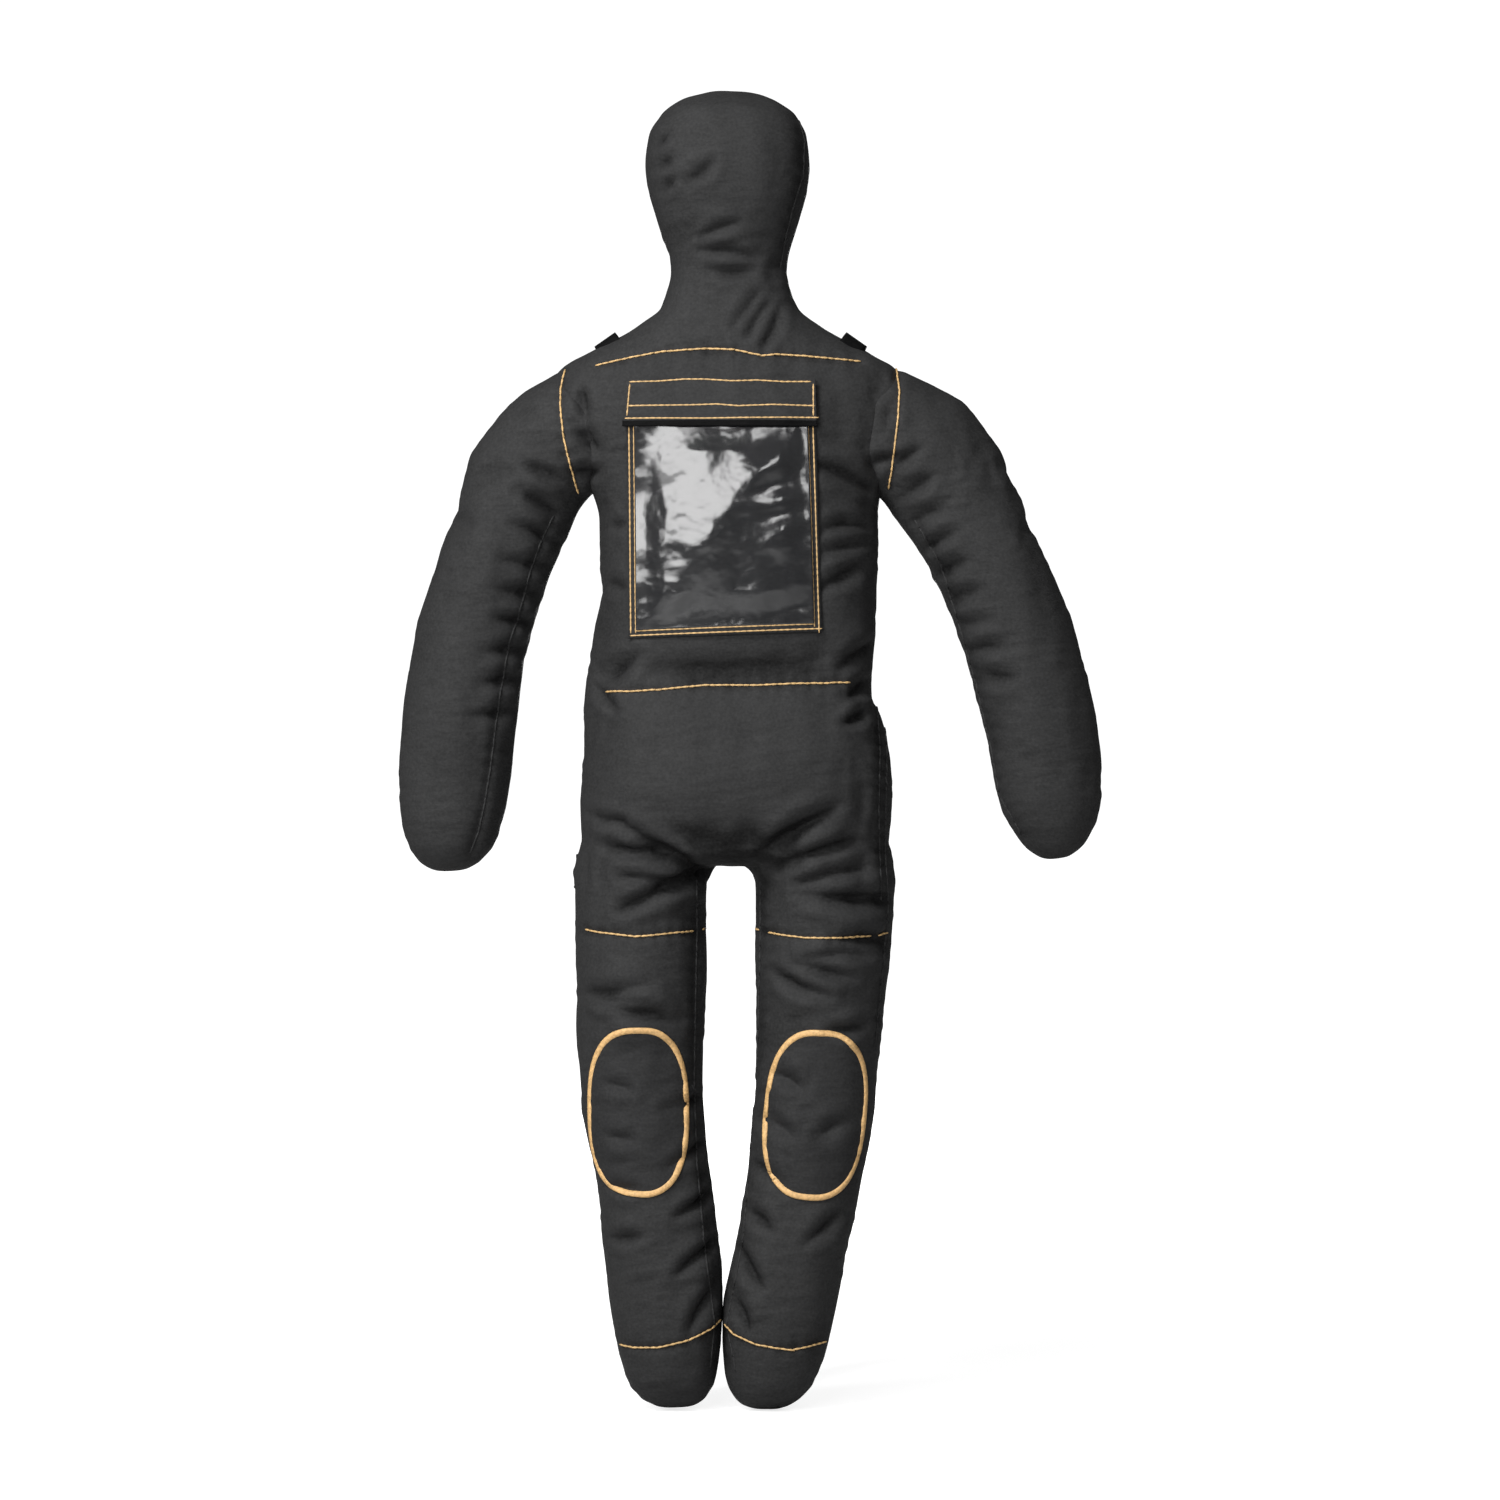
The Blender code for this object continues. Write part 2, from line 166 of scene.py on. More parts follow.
legs = {
    # height, middle, half width; x is from the frame's middle
    "right": [
        (0.415, -0.064, 0.04), (0.385, -0.07, 0.0435), (0.371, -0.0715, 0.0465),
        (0.361, -0.0736, 0.044), (0.334, -0.0736, 0.0446), (0.293, -0.0729, 0.0439),
        (0.266, -0.0741, 0.0432), (0.2385, -0.0736, 0.0413), (0.211, -0.0729, 0.041),
        (0.184, -0.0695, 0.0395), (0.157, -0.0646, 0.039), (0.129, -0.0625, 0.0393),
        (0.1015, -0.0595, 0.0395), (0.075, -0.0577, 0.0382), (0.0477, -0.056, 0.0358),
        (0.024, -0.0538, 0.0298), (0.012, -0.052, 0.0215), (0.0062, -0.051, 0.011),
    ],
    "left": [
        (0.415, 0.04, 0.04), (0.385, 0.047, 0.045), (0.371, 0.0472, 0.0492),
        (0.361, 0.05, 0.0472), (0.334, 0.0488, 0.0462), (0.293, 0.0477, 0.0436),
        (0.266, 0.0463, 0.043), (0.2385, 0.045, 0.0413), (0.211, 0.0437, 0.0408),
        (0.184, 0.0405, 0.0397), (0.157, 0.0364, 0.039), (0.129, 0.0315, 0.0384),
        (0.1015, 0.0258, 0.0384), (0.075, 0.0208, 0.0388), (0.0477, 0.0178, 0.0364),
        (0.023, 0.0148, 0.03), (0.011, 0.0128, 0.0215), (0.0055, 0.0119, 0.011),
    ],
    "depthShare": 0.965,
}
arms = {
    # middle x, height, half width, half depth, direction of the arm from straight down, in degrees
    "right": [
        (-0.098, 0.665, 0.0375, 0.036, 85), (-0.118, 0.663, 0.042, 0.038, 76),
        (-0.1385, 0.649, 0.0415, 0.037, 50), (-0.155, 0.629, 0.0415, 0.036, 28),
        (-0.1632, 0.6063, 0.0403, 0.035, 20), (-0.1741, 0.5791, 0.0396, 0.035, 18),
        (-0.1826, 0.5519, 0.039, 0.035, 16), (-0.1898, 0.5246, 0.039, 0.0345, 13),
        (-0.1949, 0.4974, 0.0392, 0.0345, 9), (-0.1983, 0.4701, 0.0388, 0.0345, 7),
        (-0.201, 0.4429, 0.0383, 0.034, 4), (-0.2027, 0.4156, 0.036, 0.0325, 2),
        (-0.203, 0.402, 0.0336, 0.031, 0), (-0.2034, 0.3883, 0.0293, 0.0275, 0),
        (-0.2045, 0.377, 0.0195, 0.0185, 0), (-0.205, 0.3718, 0.0085, 0.008, 0),
    ],
    "left": [
        (0.072, 0.665, 0.0375, 0.036, 85), (0.092, 0.664, 0.0415, 0.038, 74),
        (0.1185, 0.6515, 0.042, 0.037, 50), (0.1365, 0.629, 0.0418, 0.036, 32),
        (0.1494, 0.6063, 0.0403, 0.035, 28), (0.163, 0.5791, 0.039, 0.035, 25),
        (0.1744, 0.5519, 0.0389, 0.035, 21), (0.1836, 0.5246, 0.0389, 0.0345, 18),
        (0.1911, 0.4974, 0.0384, 0.0345, 15), (0.1976, 0.4701, 0.0379, 0.034, 12),
        (0.202, 0.4429, 0.0371, 0.0335, 7), (0.2044, 0.4156, 0.0336, 0.031, 4),
        (0.2058, 0.402, 0.029, 0.027, 2), (0.2064, 0.3885, 0.0205, 0.0195, 1),
        (0.2067, 0.38, 0.009, 0.0085, 0),
    ],
}


# rows of creases where the tubes bend, in millimetres: first middle, last middle, count, length,
# first tilt and last tilt in degrees, depth, width
creaseRows = [
    ((-64, 386), (-56, 354), 4, 62, -28, 15, 4.0, 5.0), ((34, 394), (66, 350), 4, 55, 38, 0, 4.0, 5.0),
    ((-97, 484), (-97, 404), 2, 22, -48, -8, 2.5, 3.5), ((74, 491), (72, 472), 2, 18, 44, 33, 3.0, 4.0),
    ((-90, 288), (-72, 268), 4, 42, 10, -5, 2.6, 4.5), ((78, 320), (34, 292), 4, 46, 0, -16, 3.2, 4.8),
    ((-90, 222), (-88, 120), 4, 22, -8, 8, 2.0, 4.0), ((-44, 212), (-38, 72), 5, 34, 15, 52, 2.4, 4.0),
    ((26, 226), (0, 68), 6, 26, -20, -60, 2.5, 4.0), ((66, 262), (54, 127), 3, 28, 0, 40, 2.2, 4.5),
    ((-138, 637), (-170, 476), 9, 32, -30, 14, 2.0, 4.2), ((106, 646), (167, 500), 9, 24, 42, -5, 1.8, 4.2),
    ((-112, 684), (-110, 637), 3, 20, -75, 0, 2.2, 4.0), ((94, 676), (90, 645), 2, 18, 70, 15, 1.8, 4.0),
    ((-60, 861), (-55, 831), 3, 14, 38, 36, 1.5, 3.5), ((-33, 839), (-20, 800), 2, 30, 40, 20, 1.6, 3.8),
    ((-14, 784), (-12, 773), 2, 34, -2, 2, 2.2, 3.5), ((14, 734), (-2, 748), 3, 30, 60, 45, 2.4, 4.0),
]


def creaseRow(first, last, count, length, firstTilt, lastTilt, depth, width):
    made = []
    for i in range(count):
        share = i / max(1, count - 1)
        x, z = (a + (b - a) * share for a, b in zip(first, last))
        tilt = math.radians(firstTilt + (lastTilt - firstTilt) * share + chance.uniform(-7, 7))
        half = length / 2 * chance.uniform(0.8, 1.15)
        bow = chance.uniform(-0.12, 0.12) * half
        points = [(x + t * half * math.cos(tilt) - bow * (1 - t * t) * math.sin(tilt),
                   z + t * half * math.sin(tilt) + bow * (1 - t * t) * math.cos(tilt)) for t in (-1, 0, 1)]
        made.append((points, depth * chance.uniform(0.75, 1.15), width * chance.uniform(0.85, 1.15)))
    return made


# a crease is a line of (x, z) points, then its depth and width
chance = random.Random(4)
creases = [crease for row in creaseRows for crease in creaseRow(*row)] + [
    ([(44, 643), (64, 636), (82, 627)], 2.8, 4.5),
    ([(48, 598), (64, 602), (80, 600)], 2.2, 4),
    ([(49, 583), (80, 590)], 2.2, 4),
    ([(48, 559), (62, 566), (77, 576)], 2.5, 4.5),
    ([(-96, 497), (-87, 505), (-77, 513)], 2.5, 5),
    ([(88, 523), (76, 516), (64, 507)], 2.5, 5),
    ([(-95, 600), (-84, 603)], 1.5, 4),
    ([(-96, 563), (-84, 559)], 1.5, 4),
]

stuffing = {
    "voxel": 0.0042,
    "pressure": 3.0,
    "frames": 16,
    "swell": 0.005,      # the most that the cloth may move from its cut shape
    "spare": 0.035,      # spare cloth
    "legsApart": 0.0085,
}


def stuff(piece):
    before = [v.co.copy() for v in piece.data.vertices]
    activate(piece)
    cloth = piece.modifiers.new("stuffed", "CLOTH")
    values = cloth.settings
    values.quality = 5
    values.mass = 0.25
    values.air_damping = 2.0
    values.tension_stiffness = 12
    values.compression_stiffness = 12
    values.shear_stiffness = 4
    values.bending_stiffness = 0.35
    values.use_pressure = True
    values.uniform_pressure_force = stuffing["pressure"]
    values.shrink_min = -stuffing["spare"]
    values.effector_weights.gravity = 0
    cloth.collision_settings.use_collision = False
    cloth.collision_settings.use_self_collision = False
    for step in range(1, stuffing["frames"] + 1):
        bpy.context.scene.frame_set(step)
    bpy.ops.object.modifier_apply(modifier=cloth.name)
    bpy.context.scene.frame_set(1)
    for vert, was in zip(piece.data.vertices, before):
        move = vert.co - was
        if move.length > stuffing["swell"]:
            vert.co = was + move.normalized() * stuffing["swell"]


trunkRings = [(trunkX + dx, z, w, d, 0) for z, w, d, dx in trunk["rings"]]
body = loftBag("body", trunkRings, trunk["squareness"], 40)
legBags = []
armBags = {}
for side, way in (("right", -1), ("left", 1)):
    apart = way * stuffing["legsApart"]
    rings = [(x + apart * max(0, 1 - z / 0.25), z, w, w * legs["depthShare"], 0) for z, x, w in legs[side]]
    legBags.append(loftBag(side + "Leg", rings, 2.15))
    rings = [(x, z, w, d, -way * lean) for x, z, w, d, lean in arms[side]]
    armBags[side] = loftBag(side + "Arm", rings, 2.1)
activate(body)
for bag in legBags:
    bag.select_set(True)
bpy.ops.object.join()
for bag in (body, *armBags.values()):
    applyModifier(bag, "REMESH", mode="VOXEL", voxel_size=stuffing["voxel"], adaptivity=0)
    applyModifier(bag, "SMOOTH", factor=0.5, iterations=5)
    stuff(bag)
    applyModifier(bag, "SUBSURF", levels=1, render_levels=1)
report("bags stuffed, body has %d vertices" % len(body.data.vertices))


# fine shape, worked out for all vertices at once
def readMesh(piece):
    count = len(piece.data.vertices)
    places, normals = np.empty(count * 3), np.empty(count * 3)
    piece.data.vertices.foreach_get("co", places)
    piece.data.vertices.foreach_get("normal", normals)
    return places.reshape(-1, 3), normals.reshape(-1, 3)


def smoothStep(value, low, high):
    t = np.clip((value - low) / (high - low), 0, 1)
    return t * t * (3 - 2 * t)


# distance to a line of (x, z) points in millimetres, and how far along it the nearest point lies
def alongLine(flat, line):
    line = np.array(line, float) / 1000
    steps = np.linalg.norm(np.diff(line, axis=0), axis=1)
    total, walked = steps.sum(), 0.0
    best, place = np.full(len(flat), 9.0), np.zeros(len(flat))
    for a, b, step in zip(line[:-1], line[1:], steps):
        t = np.clip(((flat - a) @ (b - a)) / step ** 2, 0, 1)
        d = np.linalg.norm(flat - a - t[:, None] * (b - a), axis=1)
        nearer = d < best
        best[nearer] = d[nearer]
        place[nearer] = (walked + t[nearer] * step) / total
        walked += step
    return best, place, total


def wave(places, size, seed):
    turned = places / size
    x, y, z = turned[:, 0], turned[:, 1], turned[:, 2]
    out = np.zeros(len(places))
    draw = np.random.default_rng(seed)
    for _ in range(7):
        a, b, c = draw.normal(size=3)
        out += np.sin(a * x + b * y + c * z + draw.uniform(0, 6.28))
    return out / 3.5


seams = {
    # each line is stitched in tan thread on the front; x and z in millimetres
    "yokeSeam": [(-104, 709), (-81, 714), (-59, 718), (-28, 720), (-10, 719), (8, 715), (18, 716),
                 (37, 715), (74, 712)],
    "rightShoulderSeam": [(-125, 708), (-128, 694), (-128, 681), (-126, 662), (-122, 643), (-117, 625)],
    "leftShoulderSeam": [(99, 711), (101, 692), (100, 675), (98, 658), (96, 641), (94, 627)],
    "waistSeam": [(-98, 489), (-82, 489), (-62, 490), (-30, 493), (5, 493), (28, 494), (66, 495)],
    "rightThighSeam": [(-112, 328), (-98, 326), (-76, 324), (-40, 327)],
    "rightThighSeamEnd": [(-34, 327), (-28, 329)],
    "leftThighSeamEnd": [(3, 328), (7, 327)],
    "leftThighSeam": [(12, 326), (37, 323), (58, 323), (82, 324)],
    "leftThighSeamSide": [(86, 324), (94, 326)],
    "rightAnkleSeam": [(-89, 46), (-79, 45), (-62, 46), (-41, 51), (-26, 58), (-21, 62)],
    "leftAnkleSeam": [(-17, 60), (-11, 54), (4, 48), (28, 44), (52, 48)],
}
welts = {
    # gusset seams: a thin raised edge of cloth, with no thread showing
    "rightArmGusset": [(-133, 608), (-140, 594), (-148, 573), (-157, 539), (-163, 522), (-169, 488),
                       (-172, 467), (-176, 436), (-180, 412), (-184, 394), (-190, 379)],
    "leftArmGusset": [(112, 605), (130, 574), (142, 535), (154, 494), (164, 452), (170, 418), (185, 391)],
    "rightLegGusset": [(-36, 362), (-36, 327), (-37, 279), (-38, 225), (-36, 170), (-31, 116),
                       (-24, 61), (-27, 30)],
    "leftLegGusset": [(7, 360), (7, 321), (6, 279), (5, 239), (-1, 157), (-5, 116), (-11, 85),
                      (-16, 60), (-10, 30)],
    "leftHipSeam": [(90, 484), (93, 450), (92, 410), (92, 375), (94, 345), (90, 300), (85, 250)],
    "leftHipSeamInner": [(86, 484), (88, 450), (87, 410), (88, 375), (89, 345)],
    "headGusset": [(33, 878), (37, 863), (36, 839), (29, 816), (24, 796), (21, 779)],
}
belly = {
    "groin": [(-88, 396), (-50, 386), (-13, 380), (25, 386), (62, 396)], "groove": 0.019, "depth": 1.5,
    "height": 0.432, "tall": 0.028, "wide": 0.075, "rise": 0.0045,
}
waist = {"line": [(-88, 504), (-13, 502), (62, 507)], "groove": 0.0085, "depth": 0.0038}
creaseGain = 1.8
backShare = 0.75
trunkLine = trunkX * 1000


def mirrored(line):
    return [(2 * trunkLine - x, z) for x, z in line]


def fineShape(piece):
    places, normals = readMesh(piece)
    flat = places[:, (0, 2)]
    front = smoothStep(-normals[:, 1], 0.02, 0.45)
    back = smoothStep(normals[:, 1], 0.02, 0.45)
    push = np.zeros(len(places))
    for line, depth, width in creases:
        for facing, share, way in ((front, 1.0, line), (back, backShare, mirrored(line))):
            gap, place, length = alongLine(flat, way)
            taper = np.clip(np.sin(np.pi * (0.08 + 0.84 * place)), 0, 1) ** 0.8
            wide = width / 1000 * (0.55 + 0.35 * taper)
            dip = -np.exp(-(gap / wide) ** 1.3) + 0.5 * np.exp(-((gap - 2.6 * wide) / (1.5 * wide)) ** 2)
            push += depth / 1000 * share * creaseGain * taper * facing * dip
    for line in list(seams.values()) + list(welts.values()):
        for facing, way in ((front, line), (back, mirrored(line))):
            gap, place, length = alongLine(flat, way)
            turns = place * length / 0.011 * 6.28 + wave(places, 0.02, 5) * 2
            pucker = 0.35 * np.sin(turns) * np.exp(-(gap / 0.008) ** 2)
            push += facing * 0.001 * (-1.3 * np.exp(-(gap / 0.0032) ** 2) + pucker)
    gap, place, _ = alongLine(flat, belly["groin"])
    up, aside = (flat[:, 1] - belly["height"]) / belly["tall"], (flat[:, 0] - trunkX) / belly["wide"]
    groin = np.exp(-(gap / belly["groove"]) ** 2) * np.sin(np.pi * np.clip(place, 0.05, 0.95))
    push += front * belly["rise"] * (np.exp(-up ** 2 - aside ** 2) - belly["depth"] * groin)
    gap, place, _ = alongLine(flat, waist["line"])
    belt = np.exp(-(gap / waist["groove"]) ** 2) * np.sin(np.pi * np.clip(place, 0.04, 0.96))
    push -= front * waist["depth"] * belt
    ripple = np.clip(wave(places, 0.012, 3) + 0.35, 0, 1.6) * (1 - 0.6 * smoothStep(flat[:, 1], 0.79, 0.81))
    push += 0.0007 * wave(places, 0.012, 1)
    push += 0.00062 * ripple * wave(places * np.array([0.4, 0.4, 1]), 0.003, 2)
    places += normals * push[:, None]
    piece.data.vertices.foreach_set("co", places.ravel())
    piece.data.update()
    return push


def closeLegs(piece):
    places, _ = readMesh(piece)
    share = np.clip(1 - places[:, 2] / 0.25, 0, 1)
    sides = np.sign(places[:, 0] - trunkX + 0.005 * share)
    mark = piece.data.attributes.new("leg", "FLOAT", "POINT")
    mark.data.foreach_set("value", sides.astype(np.float32))
    places[:, 0] -= sides * stuffing["legsApart"] * share
    piece.data.vertices.foreach_set("co", places.ravel())
    piece.data.update()


# the weave follows each tube round and down
def layWeave(piece, arm=False):
    places, _ = readMesh(piece)
    corners = np.empty(len(piece.data.loops), np.int32)
    piece.data.loops.foreach_get("vertex_index", corners)
    counts = np.empty(len(piece.data.polygons), np.int32)
    piece.data.polygons.foreach_get("loop_total", counts)
    starts = np.concatenate([[0], np.cumsum(counts)[:-1]])
    at = places[corners]
    middle, reach = np.full(len(at), trunkX), np.full(len(at), 0.07)
    for side, way in (("right", -1), ("left", 1)):
        rows = [(r[1], r[0]) for r in arms[side]] if arm else [(r[0], r[1]) for r in legs[side]]
        heights, lines = np.array(rows[::-1]).T
        here = ((at[:, 0] - trunkX) * way > 0) & ((at[:, 2] < 0.37) | arm)
        middle[here] = np.interp(at[here, 2], heights, lines)
        reach[here] = 0.038 if arm else 0.041
    first = np.repeat(starts, counts)
    turn = np.arctan2(at[:, 0] - middle, midY - at[:, 1])
    turn -= math.tau * np.round((turn - turn[first]) / math.tau)
    weave = piece.data.uv_layers.new(name="weave")
    weave.data.foreach_set("uv", np.stack([turn * reach[first], at[:, 2]], 1).ravel().astype(np.float32))


for bag in (body, *armBags.values()):
    push = fineShape(bag)
    # painted shade: the deeper a crease pushes the cloth in, the darker its colour is painted
    mark = bag.data.attributes.new("foldDepth", "FLOAT", "POINT")
    mark.data.foreach_set("value", np.clip(-push * 380 - 0.12, 0, 1).astype(np.float32))
    if bag == body:
        closeLegs(bag)
    layWeave(bag, bag != body)
    bag.data.shade_smooth()
    _, normals = readMesh(bag)
    kept = bag.data.attributes.new("wholeNormal", "FLOAT_VECTOR", "POINT")
    kept.data.foreach_set("vector", normals.ravel().astype(np.float32))
report("creases and weave")

trees = {}
graph = bpy.context.evaluated_depsgraph_get()
for name, bag in (("body", body), ("right", armBags["right"]), ("left", armBags["left"])):
    trees[name] = BVHTree.FromObject(bag, graph)


def castFront(x, z, names=("body", "right", "left"), facing=-1):
    best = None
    for name in names:
        hit, normal, _, _ = trees[name].ray_cast(Vector((x, facing * 1.0, z)), Vector((0, -facing, 0)))
        if hit is not None and (best is None or hit.y * facing > best[0].y * facing):
            best = (hit, normal)
    return best


# the bags are cut into covers, each across one joint at most
lean = math.radians(32)
crotch = Vector((trunkX, midY, 0.378))
cut = {"neckTop": 0.766, "neckBase": 0.737, "chestBase": 0.527, "hipEnd": 0.06, "thighEnd": 0.248,
       "armMiddle": 0.566}


def legWay(side):
    return Vector((side * math.sin(lean), 0, -math.cos(lean)))


# the line between the legs strays towards the right leg at the feet
def divideAt(z):
    return trunkX - 0.0058 * min(1, max(0, (0.15 - z) / 0.06))


def coverAt(x, z, arm=None, side=0):
    side = side or (-1 if x < divideAt(z) else 1)
    name = "right" if side < 0 else "left"
    if arm:
        return arm + ("UpperSleeve" if z > cut["armMiddle"] else "LowerSleeve")
    if z > cut["neckTop"]:
        return "headCover"
    if z > cut["neckBase"]:
        return "neckCover"
    if z > cut["chestBase"]:
        return "chestCover"
    reach = (Vector((x, midY, z)) - crotch).dot(legWay(side))
    if reach < 0:
        return "pelvisCover"
    if reach < cut["hipEnd"]:
        return name + "HipCover"
    return name + ("ThighCover" if z > cut["thighEnd"] else "ShinCover")


def level(z):
    return Vector((trunkX, midY, z))


# body or bodies, start and end of the bend, and the CAD nodes that the cover stands for
bends = {
    "headCover": (("neck", "head"), level(0.768), level(0.8), ["head_cover", "head_filling"]),
    "neckCover": (("chest", "neck"), level(0.738), level(0.764), ["neck_cover", "neck_filling"]),
    "chestCover": (("chest",), None, None,
                   ["chest_front_panel", "chest_back_panel", "shoulder_yoke", "chest_filling"]),
    "pelvisCover": (("chest", "pelvis"), level(0.515), level(0.461),
                    ["pelvis_front_panel", "pelvis_back_panel", "pelvis_filling"]),
}
for side, way in (("right", -1), ("left", 1)):
    down = legWay(way)
    bends[side + "HipCover"] = (("pelvis", side + "_hip"), crotch, crotch + down * 0.058,
                                [side + "_hip_cover", side + "_hip_filling"])
    bends[side + "ThighCover"] = ((side + "_hip", side + "_thigh"),
                                  crotch + down * 0.062, crotch + down * 0.1,
                                  [side + "_thigh_cover", side + "_thigh_filling"])
    bends[side + "ShinCover"] = ((side + "_thigh", side + "_shin"), level(0.235), level(0.175),
                                 [side + "_shin_cover", side + "_toe_cap", side + "_shin_filling"])
    armTop = Vector((trunkX + way * 0.128, midY, 0.653))
    bends[side + "UpperSleeve"] = ((side + "_shoulder", side + "_upper_arm"), armTop,
                                   armTop + Vector((way * 0.0355, 0, -0.0355)),
                                   [side + "_sleeve_head", side + "_shoulder_wad",
                                    side + "_upper_sleeve", side + "_upper_arm_filling"])
    bends[side + "LowerSleeve"] = ((side + "_upper_arm", side + "_forearm"), level(0.528), level(0.462),
                                   [side + "_lower_sleeve", side + "_forearm_filling"])


def follow(piece, cover):
    bodies, start, end, _ = bends[cover]
    if len(bodies) == 1:
        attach(piece, bodies[0])
    else:
        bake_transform(piece)


def cutCovers(bag, arm=None):
    centres = np.empty(len(bag.data.polygons) * 3)
    bag.data.polygons.foreach_get("center", centres)
    sides = np.zeros(len(bag.data.polygons), np.float32)
    if not arm:
        # the legs touch, so each face keeps the side it had while they were apart
        marked = np.empty(len(bag.data.vertices), np.float32)
        bag.data.attributes["leg"].data.foreach_get("value", marked)
        first, corners = np.empty(len(sides), np.int32), np.empty(len(bag.data.loops), np.int32)
        bag.data.polygons.foreach_get("loop_start", first)
        bag.data.loops.foreach_get("vertex_index", corners)
        sides = marked[corners[first]]
        bag.data.attributes.remove(bag.data.attributes["leg"])
    names = [coverAt(x, z, arm, side) for (x, _, z), side in zip(centres.reshape(-1, 3), sides)]
    marks = bag.data.attributes.new("cover", "INT", "FACE")
    order = sorted(set(names))
    marks.data.foreach_set("value", [order.index(n) for n in names])
    made = []
    for number, name in enumerate(order[:-1]):
        activate(bag)
        bpy.ops.object.mode_set(mode="EDIT")
        bpy.ops.mesh.select_mode(type="FACE")
        bpy.ops.mesh.select_all(action="DESELECT")
        bpy.ops.object.mode_set(mode="OBJECT")
        values = np.empty(len(bag.data.polygons), np.int32)
        bag.data.attributes["cover"].data.foreach_get("value", values)
        bag.data.polygons.foreach_set("select", values == number)
        bpy.ops.object.mode_set(mode="EDIT")
        bpy.ops.mesh.separate(type="SELECTED")
        bpy.ops.object.mode_set(mode="OBJECT")
        piece = next(o for o in bpy.context.selected_objects if o != bag)
        piece.name = name
        made.append(piece)
    bag.name = order[-1]
    made.append(bag)
    for piece in made:
        normals = np.empty(len(piece.data.vertices) * 3, np.float32)
        piece.data.attributes["wholeNormal"].data.foreach_get("vector", normals)
        piece.data.normals_split_custom_set_from_vertices(normals.reshape(-1, 3).tolist())
        for spare in ("wholeNormal", "cover"):
            piece.data.attributes.remove(piece.data.attributes[spare])
        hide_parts(*bends[piece.name][3])
        follow(piece, piece.name)
    return made


covers = cutCovers(body) + cutCovers(armBags["right"], "right") + cutCovers(armBags["left"], "left")
report("covers cut: " + ", ".join(sorted(p.name for p in covers)))


def tinyShapes(name, spots, size):
    deselect()
    bpy.ops.mesh.primitive_uv_sphere_add(segments=6, ring_count=5, radius=0.5)
    pattern = bpy.context.object
    shape = np.array([v.co[:] for v in pattern.data.vertices]) * np.array(size)
    faces = [tuple(f.vertices) for f in pattern.data.polygons]
    bpy.data.objects.remove(pattern)
    places, polygons = [], []
    for place, along, normal in spots:
        across = normal.cross(along).normalized()
        turn = np.array([across.cross(normal).normalized(), across, normal])
        polygons += [tuple(c + len(places) * len(shape) for c in f) for f in faces]
        places.append(shape @ turn + np.array(place))
    piece = meshPiece(name, np.concatenate(places).tolist(), polygons)
    piece.data.shade_smooth()
    return piece


lookAhead = 0.0008


# stitches along a line of (x, z) millimetre points, laid on what cast() finds
def stitchSpots(line, pitch, cast):
    points = [Vector((x / 1000, z / 1000)) for x, z in line]
    spots, carry = [], pitch / 2
    for a, b in zip(points[:-1], points[1:]):
        length = (b - a).length
        way = (b - a) / length
        at = carry
        while at < length:
            spot = a + way * at
            found = [cast(*(spot + way * step)) for step in (0, lookAhead)]
            stretch = 1
            if all(found):
                (place, normal), (ahead, _) = found
                spots.append((place, (ahead - place).normalized(), normal.normalized()))
                # closer together where the surface falls away from the front
                stretch = min(4, max(1, (ahead - place).length / lookAhead))
            at += pitch / stretch
        carry = at - length
    return spots


thread = {"pitch": 0.0046, "length": 0.0068, "width": 0.0015, "height": 0.0014, "lift": 0.0005}
threadPieces = []
groups = {}
for line in seams.values():
    for facing, way in ((-1, line), (1, mirrored(line))):
        for spot in stitchSpots(way, thread["pitch"], lambda x, z: castFront(x, z, facing=facing)):
            spot = (spot[0] + spot[2] * thread["lift"], spot[1], spot[2])
            groups.setdefault(coverAt(spot[0].x, spot[0].z), []).append(spot)
for cover, spots in groups.items():
    size = (thread["length"], thread["width"], thread["height"])
    piece = tinyShapes(cover.replace("Cover", "") + "Stitches", spots, size)
    follow(piece, cover)
    threadPieces.append(piece)
# raised edges of cloth along the gusset seams
welt = {"pitch": 0.005, "size": (0.0085, 0.0016, 0.0016)}
weltPieces = []
groups = {}
for key, line in welts.items():
    arm = "right" if key.startswith("rightArm") else "left" if key.startswith("leftArm") else None
    for facing, way in ((-1, line), (1, mirrored(line) if arm is None else line)):
        under = (arm or "body",)
        for spot in stitchSpots(way, welt["pitch"], lambda x, z: castFront(x, z, under, facing)):
            groups.setdefault(coverAt(spot[0].x, spot[0].z, arm), []).append(spot)
for cover, spots in groups.items():
    piece = tinyShapes(cover.replace("Cover", "") + "Welt", spots, welt["size"])
    follow(piece, cover)
    weltPieces.append(piece)
report("stitches")


def relax(grid, rounds):
    for _ in range(rounds):
        wide = np.pad(grid[:, :, 1], 1, mode="edge")
        grid[:, :, 1] = (wide[:-2, 1:-1] + wide[2:, 1:-1] + wide[1:-1, :-2] + wide[1:-1, 2:]) / 4


